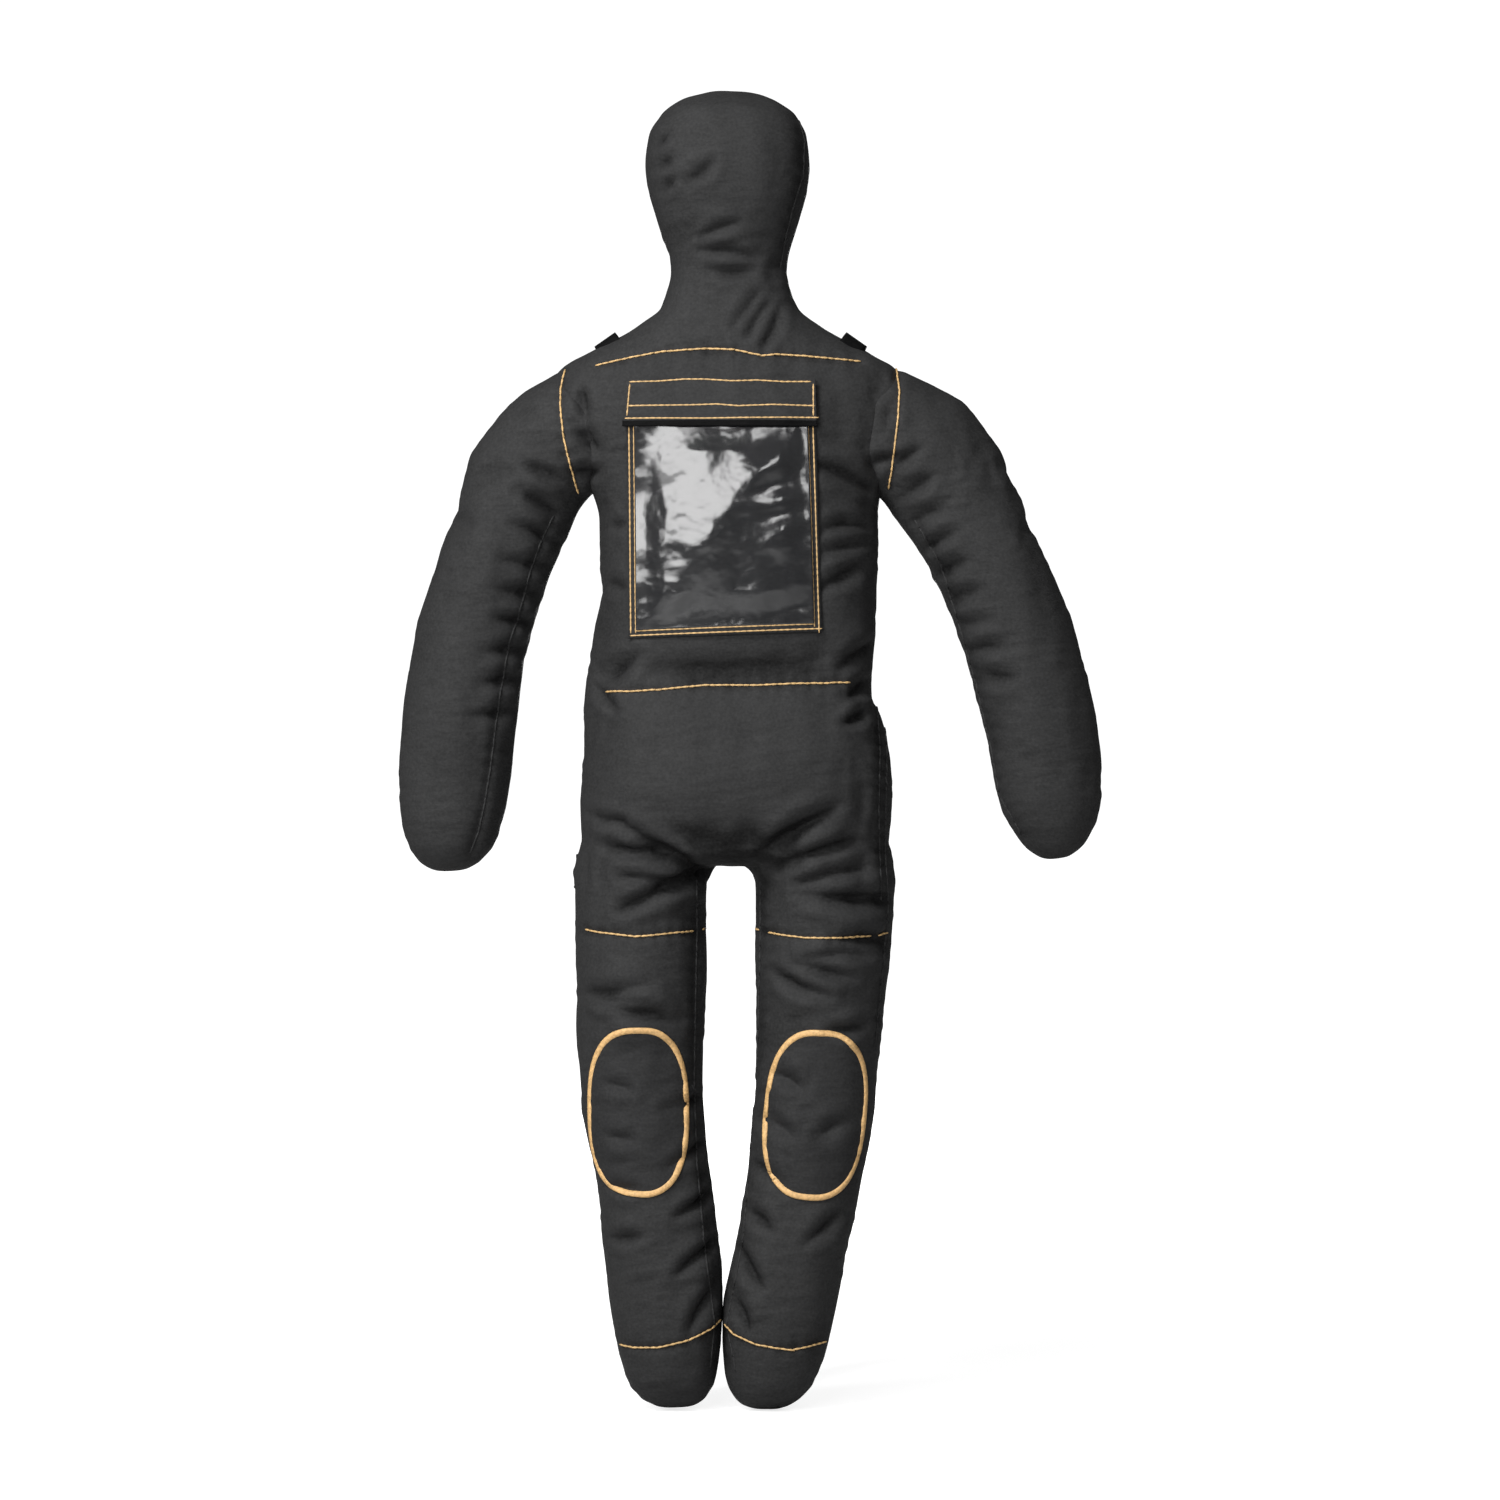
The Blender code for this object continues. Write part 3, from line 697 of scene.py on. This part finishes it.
# a sheet laid on the front: outline(u, v) turns the unit square into (x, z),
# and lift(u, v) is how far the sheet stands off
def frontSheet(name, columns, rows, outline, lift, thickness, smoothing=12):
    grid = np.zeros((rows + 1, columns + 1, 3))
    for r in range(rows + 1):
        for c in range(columns + 1):
            x, z = outline(c / columns, r / rows)
            hit = castFront(x, z, ("body",))
            grid[r, c] = (x, hit[0].y if hit else midY, z)
    bare = grid[:, :, 1].copy()
    relax(grid, smoothing)
    grid[:, :, 1] = np.minimum(grid[:, :, 1], bare)
    relax(grid, smoothing // 5)
    for r in range(rows + 1):
        for c in range(columns + 1):
            grid[r, c, 1] -= lift(c / columns, r / rows)
    faces = []
    for r in range(rows):
        for c in range(columns):
            a = r * (columns + 1) + c
            faces.append((a, a + 1, a + columns + 2, a + columns + 1))
    piece = meshPiece(name, grid.reshape(-1, 3).tolist(), faces)
    weaveAcross(piece.data)
    applyModifier(piece, "SOLIDIFY", thickness=thickness, offset=-1)
    piece.data.shade_smooth()
    bpy.context.view_layer.update()
    trees[name] = BVHTree.FromObject(piece, bpy.context.evaluated_depsgraph_get())
    return piece


def mix(a, b, t):
    return a + (b - a) * t


pocket = {
    # corners in metres: left and right edge at the top, then at the bottom
    "backing": ((-0.0834, 0.044), (-0.082, 0.0482), 0.677, 0.5266),
    "window": ((-0.078, 0.0388), (-0.0768, 0.0432), 0.674, 0.5323),
    "flap": ((-0.0832, 0.0441), (-0.0848, 0.0447), 0.699, 0.67),
}


def quad(shape, drop=0.0):
    (topLeft, topRight), (lowLeft, lowRight), high, low = shape
    return lambda u, v: (mix(mix(lowLeft, topLeft, v), mix(lowRight, topRight, v), u),
                         mix(low - drop + 2 * drop * u, high, v))


def backingLift(u, v):
    return 0.0012 + 0.0006 * math.sin(9 * v + 2 * u)


def windowLift(u, v):
    edge = min(1, 6 * min(u, 1 - u, v, 1 - v))
    right = max(0, (u - 0.45) / 0.55) ** 1.3
    folds = math.sin(31 * v + 3.0 * math.sin(3 * u) + 1.2 * math.sin(11 * v)) * 0.0011 * right
    slack = 0.003 * math.sin(math.pi * u) * math.sin(math.pi * v)
    swing = 0.0004 * math.sin(7 * u + 4 * v) + 0.0003 * math.sin(13 * u - 9 * v)
    side = (0.53 * u - 0.55 * v + 0.01) / 0.76
    crest = math.exp(-((side - 0.02 * math.sin(17 * v)) / 0.075) ** 2)
    ridge = 0.0014 * crest * min(1, max(0, 3 * (v - 0.3)))
    column = 0.0004 * math.exp(-((u - 0.34 - 0.03 * math.sin(9 * v)) / 0.13) ** 2) * min(1, 2.2 * v)
    return 0.002 + (folds + slack + swing + ridge + column) * edge


def flapLift(u, v):
    return 0.0052 - 0.0012 * v + 0.0004 * math.sin(12 * u) * (1 - v)


backing = frontSheet("pocketBacking", 66, 76, quad(pocket["backing"], 0.0022), backingLift, 0.0007)
window = frontSheet("pocketWindow", 110, 140, quad(pocket["window"], 0.0022), windowLift, 0.0003, 60)
flap = frontSheet("pocketFlap", 128, 28, quad(pocket["flap"]), flapLift, 0.0012, 30)
# painted shadow: a near-black strip along the flap's lower edge, hanging about 3 mm below it, stands for
# the shadow in the gap under the flap
shadowStripShape = ((-0.0856, 0.0452), (-0.0858, 0.0453), 0.6706, 0.6668)
shadowStrip = frontSheet("flapTape", 128, 6, quad(shadowStripShape),
                  lambda u, v: 0.0057 + 0.0004 * math.sin(12 * u), 0.0022, 30)
stripShape = ((-0.078, 0.039), (-0.078, 0.039), 0.69, 0.677)
strips = [frontSheet(name, 60, 8, quad(stripShape), lambda u, v, d=deep: d, 0.0006, 30)
          for name, deep in (("loopStrip", 0.0017), ("hookStrip", 0.0027))]
loopStrip, hookStrip = strips
for piece, home, node, slotName in (
        (backing, "chest", "pocket_backing", "patch_cloth"),
        (window, "chest", "pocket_window", "vinyl_film"),
        (flap, "pocket_flap", "pocket_flap", "body_cloth"),
        (shadowStrip, "pocket_flap", "flap_edge_tape", "webbing"),
        (loopStrip, "chest", "chest_loop_strip", "webbing"),
        (hookStrip, "pocket_flap", "flap_hook_strip", "webbing")):
    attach(piece, home)
    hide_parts(node)

pocketThread = {"pitch": 0.0042, "size": (0.0062, 0.0012, 0.001)}
pocketStitches = {
    "pocketBacking": [
        [(-81.4, 671), (-80.2, 526.5)], [(-78.2, 671), (-76.9, 530)], [(38.9, 671), (43.3, 533)],
        [(42.2, 671), (46.4, 530)], [(-76.9, 529.6), (43.3, 534.2)], [(-80.2, 526.4), (46.4, 531)],
    ],
    "pocketFlap": [
        [(-80.6, 696.9), (-62, 697.2), (-45, 698.4), (-31, 698.4), (-12, 697.2), (5, 697.7),
         (22, 696.8), (42.5, 697.0)],
        [(-82, 680.6), (-40, 680.9), (-22, 681.4), (-8, 680.2), (15, 681.2), (42.3, 680.6)],
        [(-83.6, 672.2), (-30, 671.9), (20, 672.5), (43.8, 672.6)], [(-80.8, 695), (-82.6, 674)],
        [(42.5, 695), (42.5, 675)],
    ],
}
for name, lines in pocketStitches.items():
    spots = []
    under = (name, "pocketWindow") if name == "pocketBacking" else (name,)
    for line in lines:
        spots += stitchSpots(line, pocketThread["pitch"], lambda x, z: castFront(x, z, under))
    piece = tinyShapes(name + "Stitches", spots, pocketThread["size"])
    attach(piece, "chest" if name == "pocketBacking" else "pocket_flap")
    threadPieces.append(piece)
report("pocket")

knee = {
    # side: middle x, z, half width, half height, lean of the long axis in degrees
    "right": (-0.0757, 0.2052, 0.0322, 0.0556, -0.6),
    "left": (0.0441, 0.2032, 0.0326, 0.0556, 5.5),
    "squareness": 2.65, "lift": 0.0013, "band": 0.0023, "threads": 420,
}


def kneeOutline(side, turn, share):
    x, z, halfWidth, halfHeight, tilt = knee[side]
    c, s = math.cos(turn), math.sin(turn)
    px = halfWidth * math.copysign(abs(c) ** (2 / knee["squareness"]), c) * share
    pz = halfHeight * math.copysign(abs(s) ** (2 / knee["squareness"]), s) * share
    tilt = math.radians(tilt)
    return x + px * math.cos(tilt) + pz * math.sin(tilt), z - px * math.sin(tilt) + pz * math.cos(tilt)


def kneePatch(side):
    turns, rings = 120, 26
    points = [Vector(kneeOutline(side, 0, 0))]
    for r in range(1, rings + 1):
        points += [Vector(kneeOutline(side, math.tau * t / turns, r / rings)) for t in range(turns)]
    places = []
    for point in points:
        hit, normal = castFront(point.x, point.y, ("body",))
        places.append(hit + normal * knee["lift"])
    faces = [(0, 1 + (t + 1) % turns, 1 + t) for t in range(turns)]
    for r in range(rings - 1):
        for t in range(turns):
            a, b = 1 + r * turns + t, 1 + r * turns + (t + 1) % turns
            faces.append((a, b, b + turns, a + turns))
    piece = meshPiece(side + "KneePatch", places, faces)
    made = piece.data
    weaveAcross(made)
    turnOutwards(piece)
    if made.polygons[0].normal.y > 0:
        made.flip_normals()
    applyModifier(piece, "SMOOTH", factor=0.5, iterations=3)
    applyModifier(piece, "SOLIDIFY", thickness=0.0012, offset=-1)
    made.shade_smooth()
    return piece


def kneeBorder(side):
    stations, ribs = knee["threads"] * 3, 7
    places, faces = [], []
    lengths = [0.0]
    ring = [Vector(kneeOutline(side, math.tau * t / 2000, 1)) for t in range(2001)]
    for a, b in zip(ring[:-1], ring[1:]):
        lengths.append(lengths[-1] + (b - a).length)
    for s in range(stations):
        turn = float(np.interp(s / stations * lengths[-1], lengths, range(2001))) / 2000
        x, z = kneeOutline(side, math.tau * turn, 1)
        ahead = Vector(kneeOutline(side, math.tau * (turn + 0.001), 1)) - Vector((x, z))
        hit, normal = castFront(x, z, ("body",))
        across = Vector((ahead.y, 0, -ahead.x)).normalized()
        across = (across - normal * across.dot(normal)).normalized()
        swell = (1.0, 0.86, 0.86)[s % 3]
        for r in range(ribs):
            bow = math.pi * r / (ribs - 1)
            places.append(hit + across * knee["band"] * math.cos(bow) * (1.0 if s % 3 == 0 else 0.96)
                          + normal * (0.0008 + 0.0014 * math.sin(bow) * swell))
        places.append(hit + normal * 0.0002)
    count = ribs + 1
    for s in range(stations):
        for r in range(count):
            a, b = s * count + r, s * count + (r + 1) % count
            c, d = ((s + 1) % stations) * count + r, ((s + 1) % stations) * count + (r + 1) % count
            faces.append((a, b, d, c))
    piece = meshPiece(side + "KneeBorder", places, faces)
    turnOutwards(piece)
    piece.data.shade_smooth()
    return piece


patches, borders = [], []
for side in ("right", "left"):
    patch, border = kneePatch(side), kneeBorder(side)
    dressed = ((patch, "_knee_patch", "patch_cloth"), (border, "_knee_border", "border_thread"))
    for piece, node, slotName in dressed:
        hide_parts(side + node)
        follow(piece, side + "ShinCover")
    patches.append(patch)
    borders.append(border)
report("knee patches")

strap = {"width": 0.017, "span": 0.0235, "proud": 0.006, "thickness": 0.0018, "slope": 35,
         "middle": 0.0858, "top": 0.729}
loops = []
for side, way in (("right", -1), ("left", 1)):
    slope = math.radians(strap["slope"])
    normal = Vector((way * math.sin(slope), 0, math.cos(slope)))
    across = Vector((way * math.cos(slope), 0, -math.sin(slope)))
    hit = Vector((trunkX + way * strap["middle"], midY, strap["top"])) - normal * strap["proud"]
    along, wide = 30, 6
    places, faces = [], []
    for a in range(along + 1):
        t = 2 * a / along - 1
        rise = strap["proud"] * (1 - abs(t) ** 2.6) - 0.006 * max(0, abs(t) - 0.75) / 0.25
        for w in range(wide + 1):
            offside = (w / wide - 0.5) * strap["width"]
            lengthwise = Vector((0, t * strap["span"], 0))
            places.append(hit + normal * (rise - 0.0005) + across * offside + lengthwise)
    for a in range(along):
        for w in range(wide):
            c = a * (wide + 1) + w
            corners = (c, c + 1, c + wide + 2, c + wide + 1)
            faces.append(corners if way > 0 else (corners[0], *corners[:0:-1]))
    piece = meshPiece(side + "ShoulderLoop", places, faces)
    made = piece.data
    if made.polygons[len(made.polygons) // 2].normal.dot(normal) < 0:
        made.flip_normals()
    applyModifier(piece, "SOLIDIFY", thickness=strap["thickness"], offset=0)
    made.shade_smooth()
    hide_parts(side + "_shoulder_loop")
    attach(piece, "chest")
    loops.append(piece)
report("loops")

def nodesOf(material):
    material.use_nodes = True
    tree = material.node_tree
    return tree, tree.nodes["Principled BSDF"]


def socket(group, name, kind, way, value=None):
    made = group.interface.new_socket(name=name, in_out=way, socket_type=kind)
    if value is not None:
        made.default_value = value
    return made


def mathNode(tree, operation, *values):
    node = tree.nodes.new("ShaderNodeMath")
    node.operation = operation
    for slotNumber, value in enumerate(values):
        if hasattr(value, "is_output"):
            tree.links.new(value, node.inputs[slotNumber])
        else:
            node.inputs[slotNumber].default_value = value
    return node.outputs[0]


# woven nylon: a colour, a roughness and a height from the weave map and the fold marks; the fold marks
# paint shade into the colour in the folds
def wovenGroup():
    group = bpy.data.node_groups.new("wovenNylon", "ShaderNodeTree")
    socket(group, "Cloth Colour", "NodeSocketColor", "INPUT", (0.045, 0.046, 0.048, 1))
    socket(group, "Yarn Pitch", "NodeSocketFloat", "INPUT", 0.0009)
    socket(group, "Wear", "NodeSocketFloat", "INPUT", 0.3)
    socket(group, "Colour", "NodeSocketColor", "OUTPUT")
    socket(group, "Roughness", "NodeSocketFloat", "OUTPUT")
    socket(group, "Height", "NodeSocketFloat", "OUTPUT")
    inputs = group.nodes.new("NodeGroupInput")
    outputs = group.nodes.new("NodeGroupOutput")
    weave = group.nodes.new("ShaderNodeUVMap")
    weave.uv_map = "weave"
    place = group.nodes.new("ShaderNodeTexCoord")
    apart = group.nodes.new("ShaderNodeSeparateXYZ")
    group.links.new(weave.outputs[0], apart.inputs[0])
    waves = []
    for axis in (0, 1):
        turns = mathNode(group, "DIVIDE", apart.outputs[axis], inputs.outputs["Yarn Pitch"])
        waves.append(mathNode(group, "SINE", mathNode(group, "MULTIPLY", turns, math.tau)))
    yarn = mathNode(group, "MULTIPLY", waves[0], waves[1])
    noises = []
    for scale, detail in ((26.0, 4.0), (150.0, 5.0), (520.0, 3.0)):
        node = group.nodes.new("ShaderNodeTexNoise")
        node.inputs["Scale"].default_value = scale
        node.inputs["Detail"].default_value = detail
        group.links.new(place.outputs["Object"], node.inputs["Vector"])
        noises.append(node.outputs[0])
    fold = group.nodes.new("ShaderNodeAttribute")
    fold.attribute_name = "foldDepth"
    # brightness: cloudy wear, fine speckle and yarns, and painted shade that darkens the folds
    cloud = mathNode(group, "SUBTRACT", noises[0], 0.5)
    cloudy = mathNode(group, "MULTIPLY_ADD", cloud, inputs.outputs["Wear"], 1.0)
    speckle = mathNode(group, "MULTIPLY_ADD", mathNode(group, "SUBTRACT", noises[2], 0.5), 1.0, cloudy)
    yarnShade = mathNode(group, "MULTIPLY_ADD", yarn, 0.07, speckle)
    shaded = mathNode(group, "MULTIPLY_ADD", fold.outputs["Fac"], -0.62, yarnShade)
    bright = group.nodes.new("ShaderNodeVectorMath")
    bright.operation = "SCALE"
    group.links.new(inputs.outputs["Cloth Colour"], bright.inputs[0])
    group.links.new(shaded, bright.inputs["Scale"])
    group.links.new(bright.outputs[0], outputs.inputs["Colour"])
    group.links.new(mathNode(group, "MULTIPLY_ADD", noises[1], 0.25, 0.58), outputs.inputs["Roughness"])
    stretch = group.nodes.new("ShaderNodeMapping")
    stretch.inputs["Scale"].default_value = (0.35, 0.35, 1)
    group.links.new(place.outputs["Object"], stretch.inputs["Vector"])
    crush = group.nodes.new("ShaderNodeTexNoise")
    crush.inputs["Scale"].default_value = 150
    crush.inputs["Detail"].default_value = 4
    group.links.new(stretch.outputs[0], crush.inputs["Vector"])
    wrinkle = mathNode(group, "MULTIPLY", crush.outputs[0], 0.0022)
    group.links.new(mathNode(group, "MULTIPLY_ADD", yarn, 0.00005, wrinkle), outputs.inputs["Height"])
    return group


woven = wovenGroup()


def clothMaterial(name, colour, pitch=0.0009, wear=0.3, bump=0.6):
    material = bpy.data.materials.new(name)
    tree, shader = nodesOf(material)
    cloth = tree.nodes.new("ShaderNodeGroup")
    cloth.node_tree = woven
    cloth.inputs["Cloth Colour"].default_value = (*colour, 1)
    cloth.inputs["Yarn Pitch"].default_value = pitch
    cloth.inputs["Wear"].default_value = wear
    relief = tree.nodes.new("ShaderNodeBump")
    relief.inputs["Strength"].default_value = bump
    relief.inputs["Distance"].default_value = 1.0
    tree.links.new(cloth.outputs["Height"], relief.inputs["Height"])
    tree.links.new(cloth.outputs["Colour"], shader.inputs["Base Color"])
    tree.links.new(cloth.outputs["Roughness"], shader.inputs["Roughness"])
    tree.links.new(relief.outputs[0], shader.inputs["Normal"])
    shader.inputs["Specular IOR Level"].default_value = 0.14
    return material


bodyCloth = clothMaterial("bodyCloth", (0.0195, 0.0195, 0.0197))
patchCloth = clothMaterial("patchCloth", (0.0172, 0.0172, 0.0175), wear=0.2)
webbing = clothMaterial("webbing", (0.003, 0.003, 0.0031), pitch=0.0022, wear=0.1, bump=1.0)
webbing.node_tree.nodes["Principled BSDF"].inputs["Specular IOR Level"].default_value = 0.05


def threadMaterial(name, colour, scale):
    material = bpy.data.materials.new(name)
    tree, shader = nodesOf(material)
    place = tree.nodes.new("ShaderNodeTexCoord")
    fibres = tree.nodes.new("ShaderNodeTexNoise")
    fibres.inputs["Scale"].default_value = scale
    fibres.inputs["Detail"].default_value = 3
    tree.links.new(place.outputs["Object"], fibres.inputs["Vector"])
    ramp = tree.nodes.new("ShaderNodeValToRGB")
    ramp.color_ramp.elements[0].position = 0.3
    ramp.color_ramp.elements[1].position = 0.7
    ramp.color_ramp.elements[0].color = (*[c * 0.72 for c in colour], 1)
    ramp.color_ramp.elements[1].color = (*[min(1, c * 1.18) for c in colour], 1)
    tree.links.new(fibres.outputs[0], ramp.inputs[0])
    tree.links.new(ramp.outputs[0], shader.inputs["Base Color"])
    shader.inputs["Roughness"].default_value = 0.6
    return material


seamThread = threadMaterial("seamThread", (0.47, 0.3, 0.125), 300)
borderThread = threadMaterial("borderThread", (0.52, 0.32, 0.13), 500)

vinyl = bpy.data.materials.new("vinylFilm")
tree, shader = nodesOf(vinyl)
place = tree.nodes.new("ShaderNodeTexCoord")
dents = tree.nodes.new("ShaderNodeTexNoise")
dents.inputs["Scale"].default_value = 55
dents.inputs["Detail"].default_value = 2
tree.links.new(place.outputs["Object"], dents.inputs["Vector"])
relief = tree.nodes.new("ShaderNodeBump")
relief.inputs["Strength"].default_value = 0.5
relief.inputs["Distance"].default_value = 0.003
tree.links.new(dents.outputs[0], relief.inputs["Height"])
tree.links.new(relief.outputs[0], shader.inputs["Normal"])
shader.inputs["Base Color"].default_value = (0.012, 0.0122, 0.013, 1)
shader.inputs["Roughness"].default_value = 0.17
shader.inputs["Coat Weight"].default_value = 0.5
shader.inputs["Coat Roughness"].default_value = 0.1
clothed = (
    (bodyCloth, covers + weltPieces + [flap]), (patchCloth, patches + [backing]), (vinyl, [window]),
    (webbing, loops + [shadowStrip, loopStrip, hookStrip]), (seamThread, threadPieces), (borderThread, borders),
)
for material, members in clothed:
    for piece in members:
        piece.data.materials.clear()
        piece.data.materials.append(material)
report("materials")

studio = {"floor": 30.0, "lens": 120, "distance": 3.41, "aim": 0.4495, "glow": 0.72, "sky": 0.16}
deselect()
bpy.ops.mesh.primitive_plane_add(size=studio["floor"] * 2, location=(0, 0, 0))
floor = bpy.context.object
floor.name = "floor"
bpy.ops.object.transform_apply()
paleFloor = bpy.data.materials.new("paleFloor")
tree, shader = nodesOf(paleFloor)
shader.inputs["Base Color"].default_value = (0.5, 0.5, 0.5, 1)
shader.inputs["Roughness"].default_value = 0.9
shader.inputs["Emission Color"].default_value = (1, 1, 1, 1)
shader.inputs["Emission Strength"].default_value = studio["glow"]
place = tree.nodes.new("ShaderNodeTexCoord")
away = tree.nodes.new("ShaderNodeVectorMath")
away.operation = "LENGTH"
tree.links.new(place.outputs["Object"], away.inputs[0])
glow = tree.nodes.new("ShaderNodeMapRange")
for name, value in (("From Min", 0.5), ("From Max", 2.0), ("To Min", studio["glow"]), ("To Max", 1.1)):
    glow.inputs[name].default_value = value
tree.links.new(away.outputs["Value"], glow.inputs["Value"])
seen = tree.nodes.new("ShaderNodeLightPath")
shown = mathNode(tree, "MULTIPLY", glow.outputs[0], seen.outputs["Is Camera Ray"])
tree.links.new(shown, shader.inputs["Emission Strength"])
floor.data.materials.append(paleFloor)

world = bpy.data.worlds.new("studio")
bpy.context.scene.world = world
world.use_nodes = True
sky = world.node_tree
background = sky.nodes["Background"]
background.inputs["Color"].default_value = (1, 1, 1, 1)
ray = sky.nodes.new("ShaderNodeLightPath")
strength = sky.nodes.new("ShaderNodeMapRange")
strength.inputs["To Min"].default_value = studio["sky"]
strength.inputs["To Max"].default_value = 1.1
sky.links.new(ray.outputs["Is Camera Ray"], strength.inputs["Value"])
sky.links.new(strength.outputs[0], background.inputs["Strength"])
bpy.context.scene.view_settings.view_transform = "Standard"


def areaLight(name, location, aim, size, power):
    lamp = bpy.data.lights.new(name, "AREA")
    lamp.shape = "RECTANGLE"
    lamp.size, lamp.size_y = size
    lamp.energy = power
    made = bpy.data.objects.new(name, lamp)
    bpy.context.scene.collection.objects.link(made)
    made.location = location
    made.rotation_euler = (Vector(aim) - Vector(location)).to_track_quat("-Z", "Y").to_euler()


areaLight("key", (-1.2, -1.8, 2.6), (0, 0, 0.45), (0.8, 0.7), 100)
areaLight("glare", (-1.15, -2.5, 1.12), (-0.015, 0, 0.6), (2.1, 0.95), 64)
areaLight("glareRight", (0.7, -2.7, 1.38), (-0.015, 0, 0.6), (0.6, 0.55), 9)
areaLight("back", (0.1, 3.4, 0.9), (0, 0, 0.45), (0.9, 0.8), 45)
camera = bpy.data.cameras.new("camera")
camera.lens = studio["lens"]
view = bpy.data.objects.new("camera", camera)
bpy.context.scene.collection.objects.link(view)
view.location = (0, -studio["distance"], studio["aim"])
view.rotation_euler = (math.radians(90), 0, 0)
bpy.context.scene.camera = view
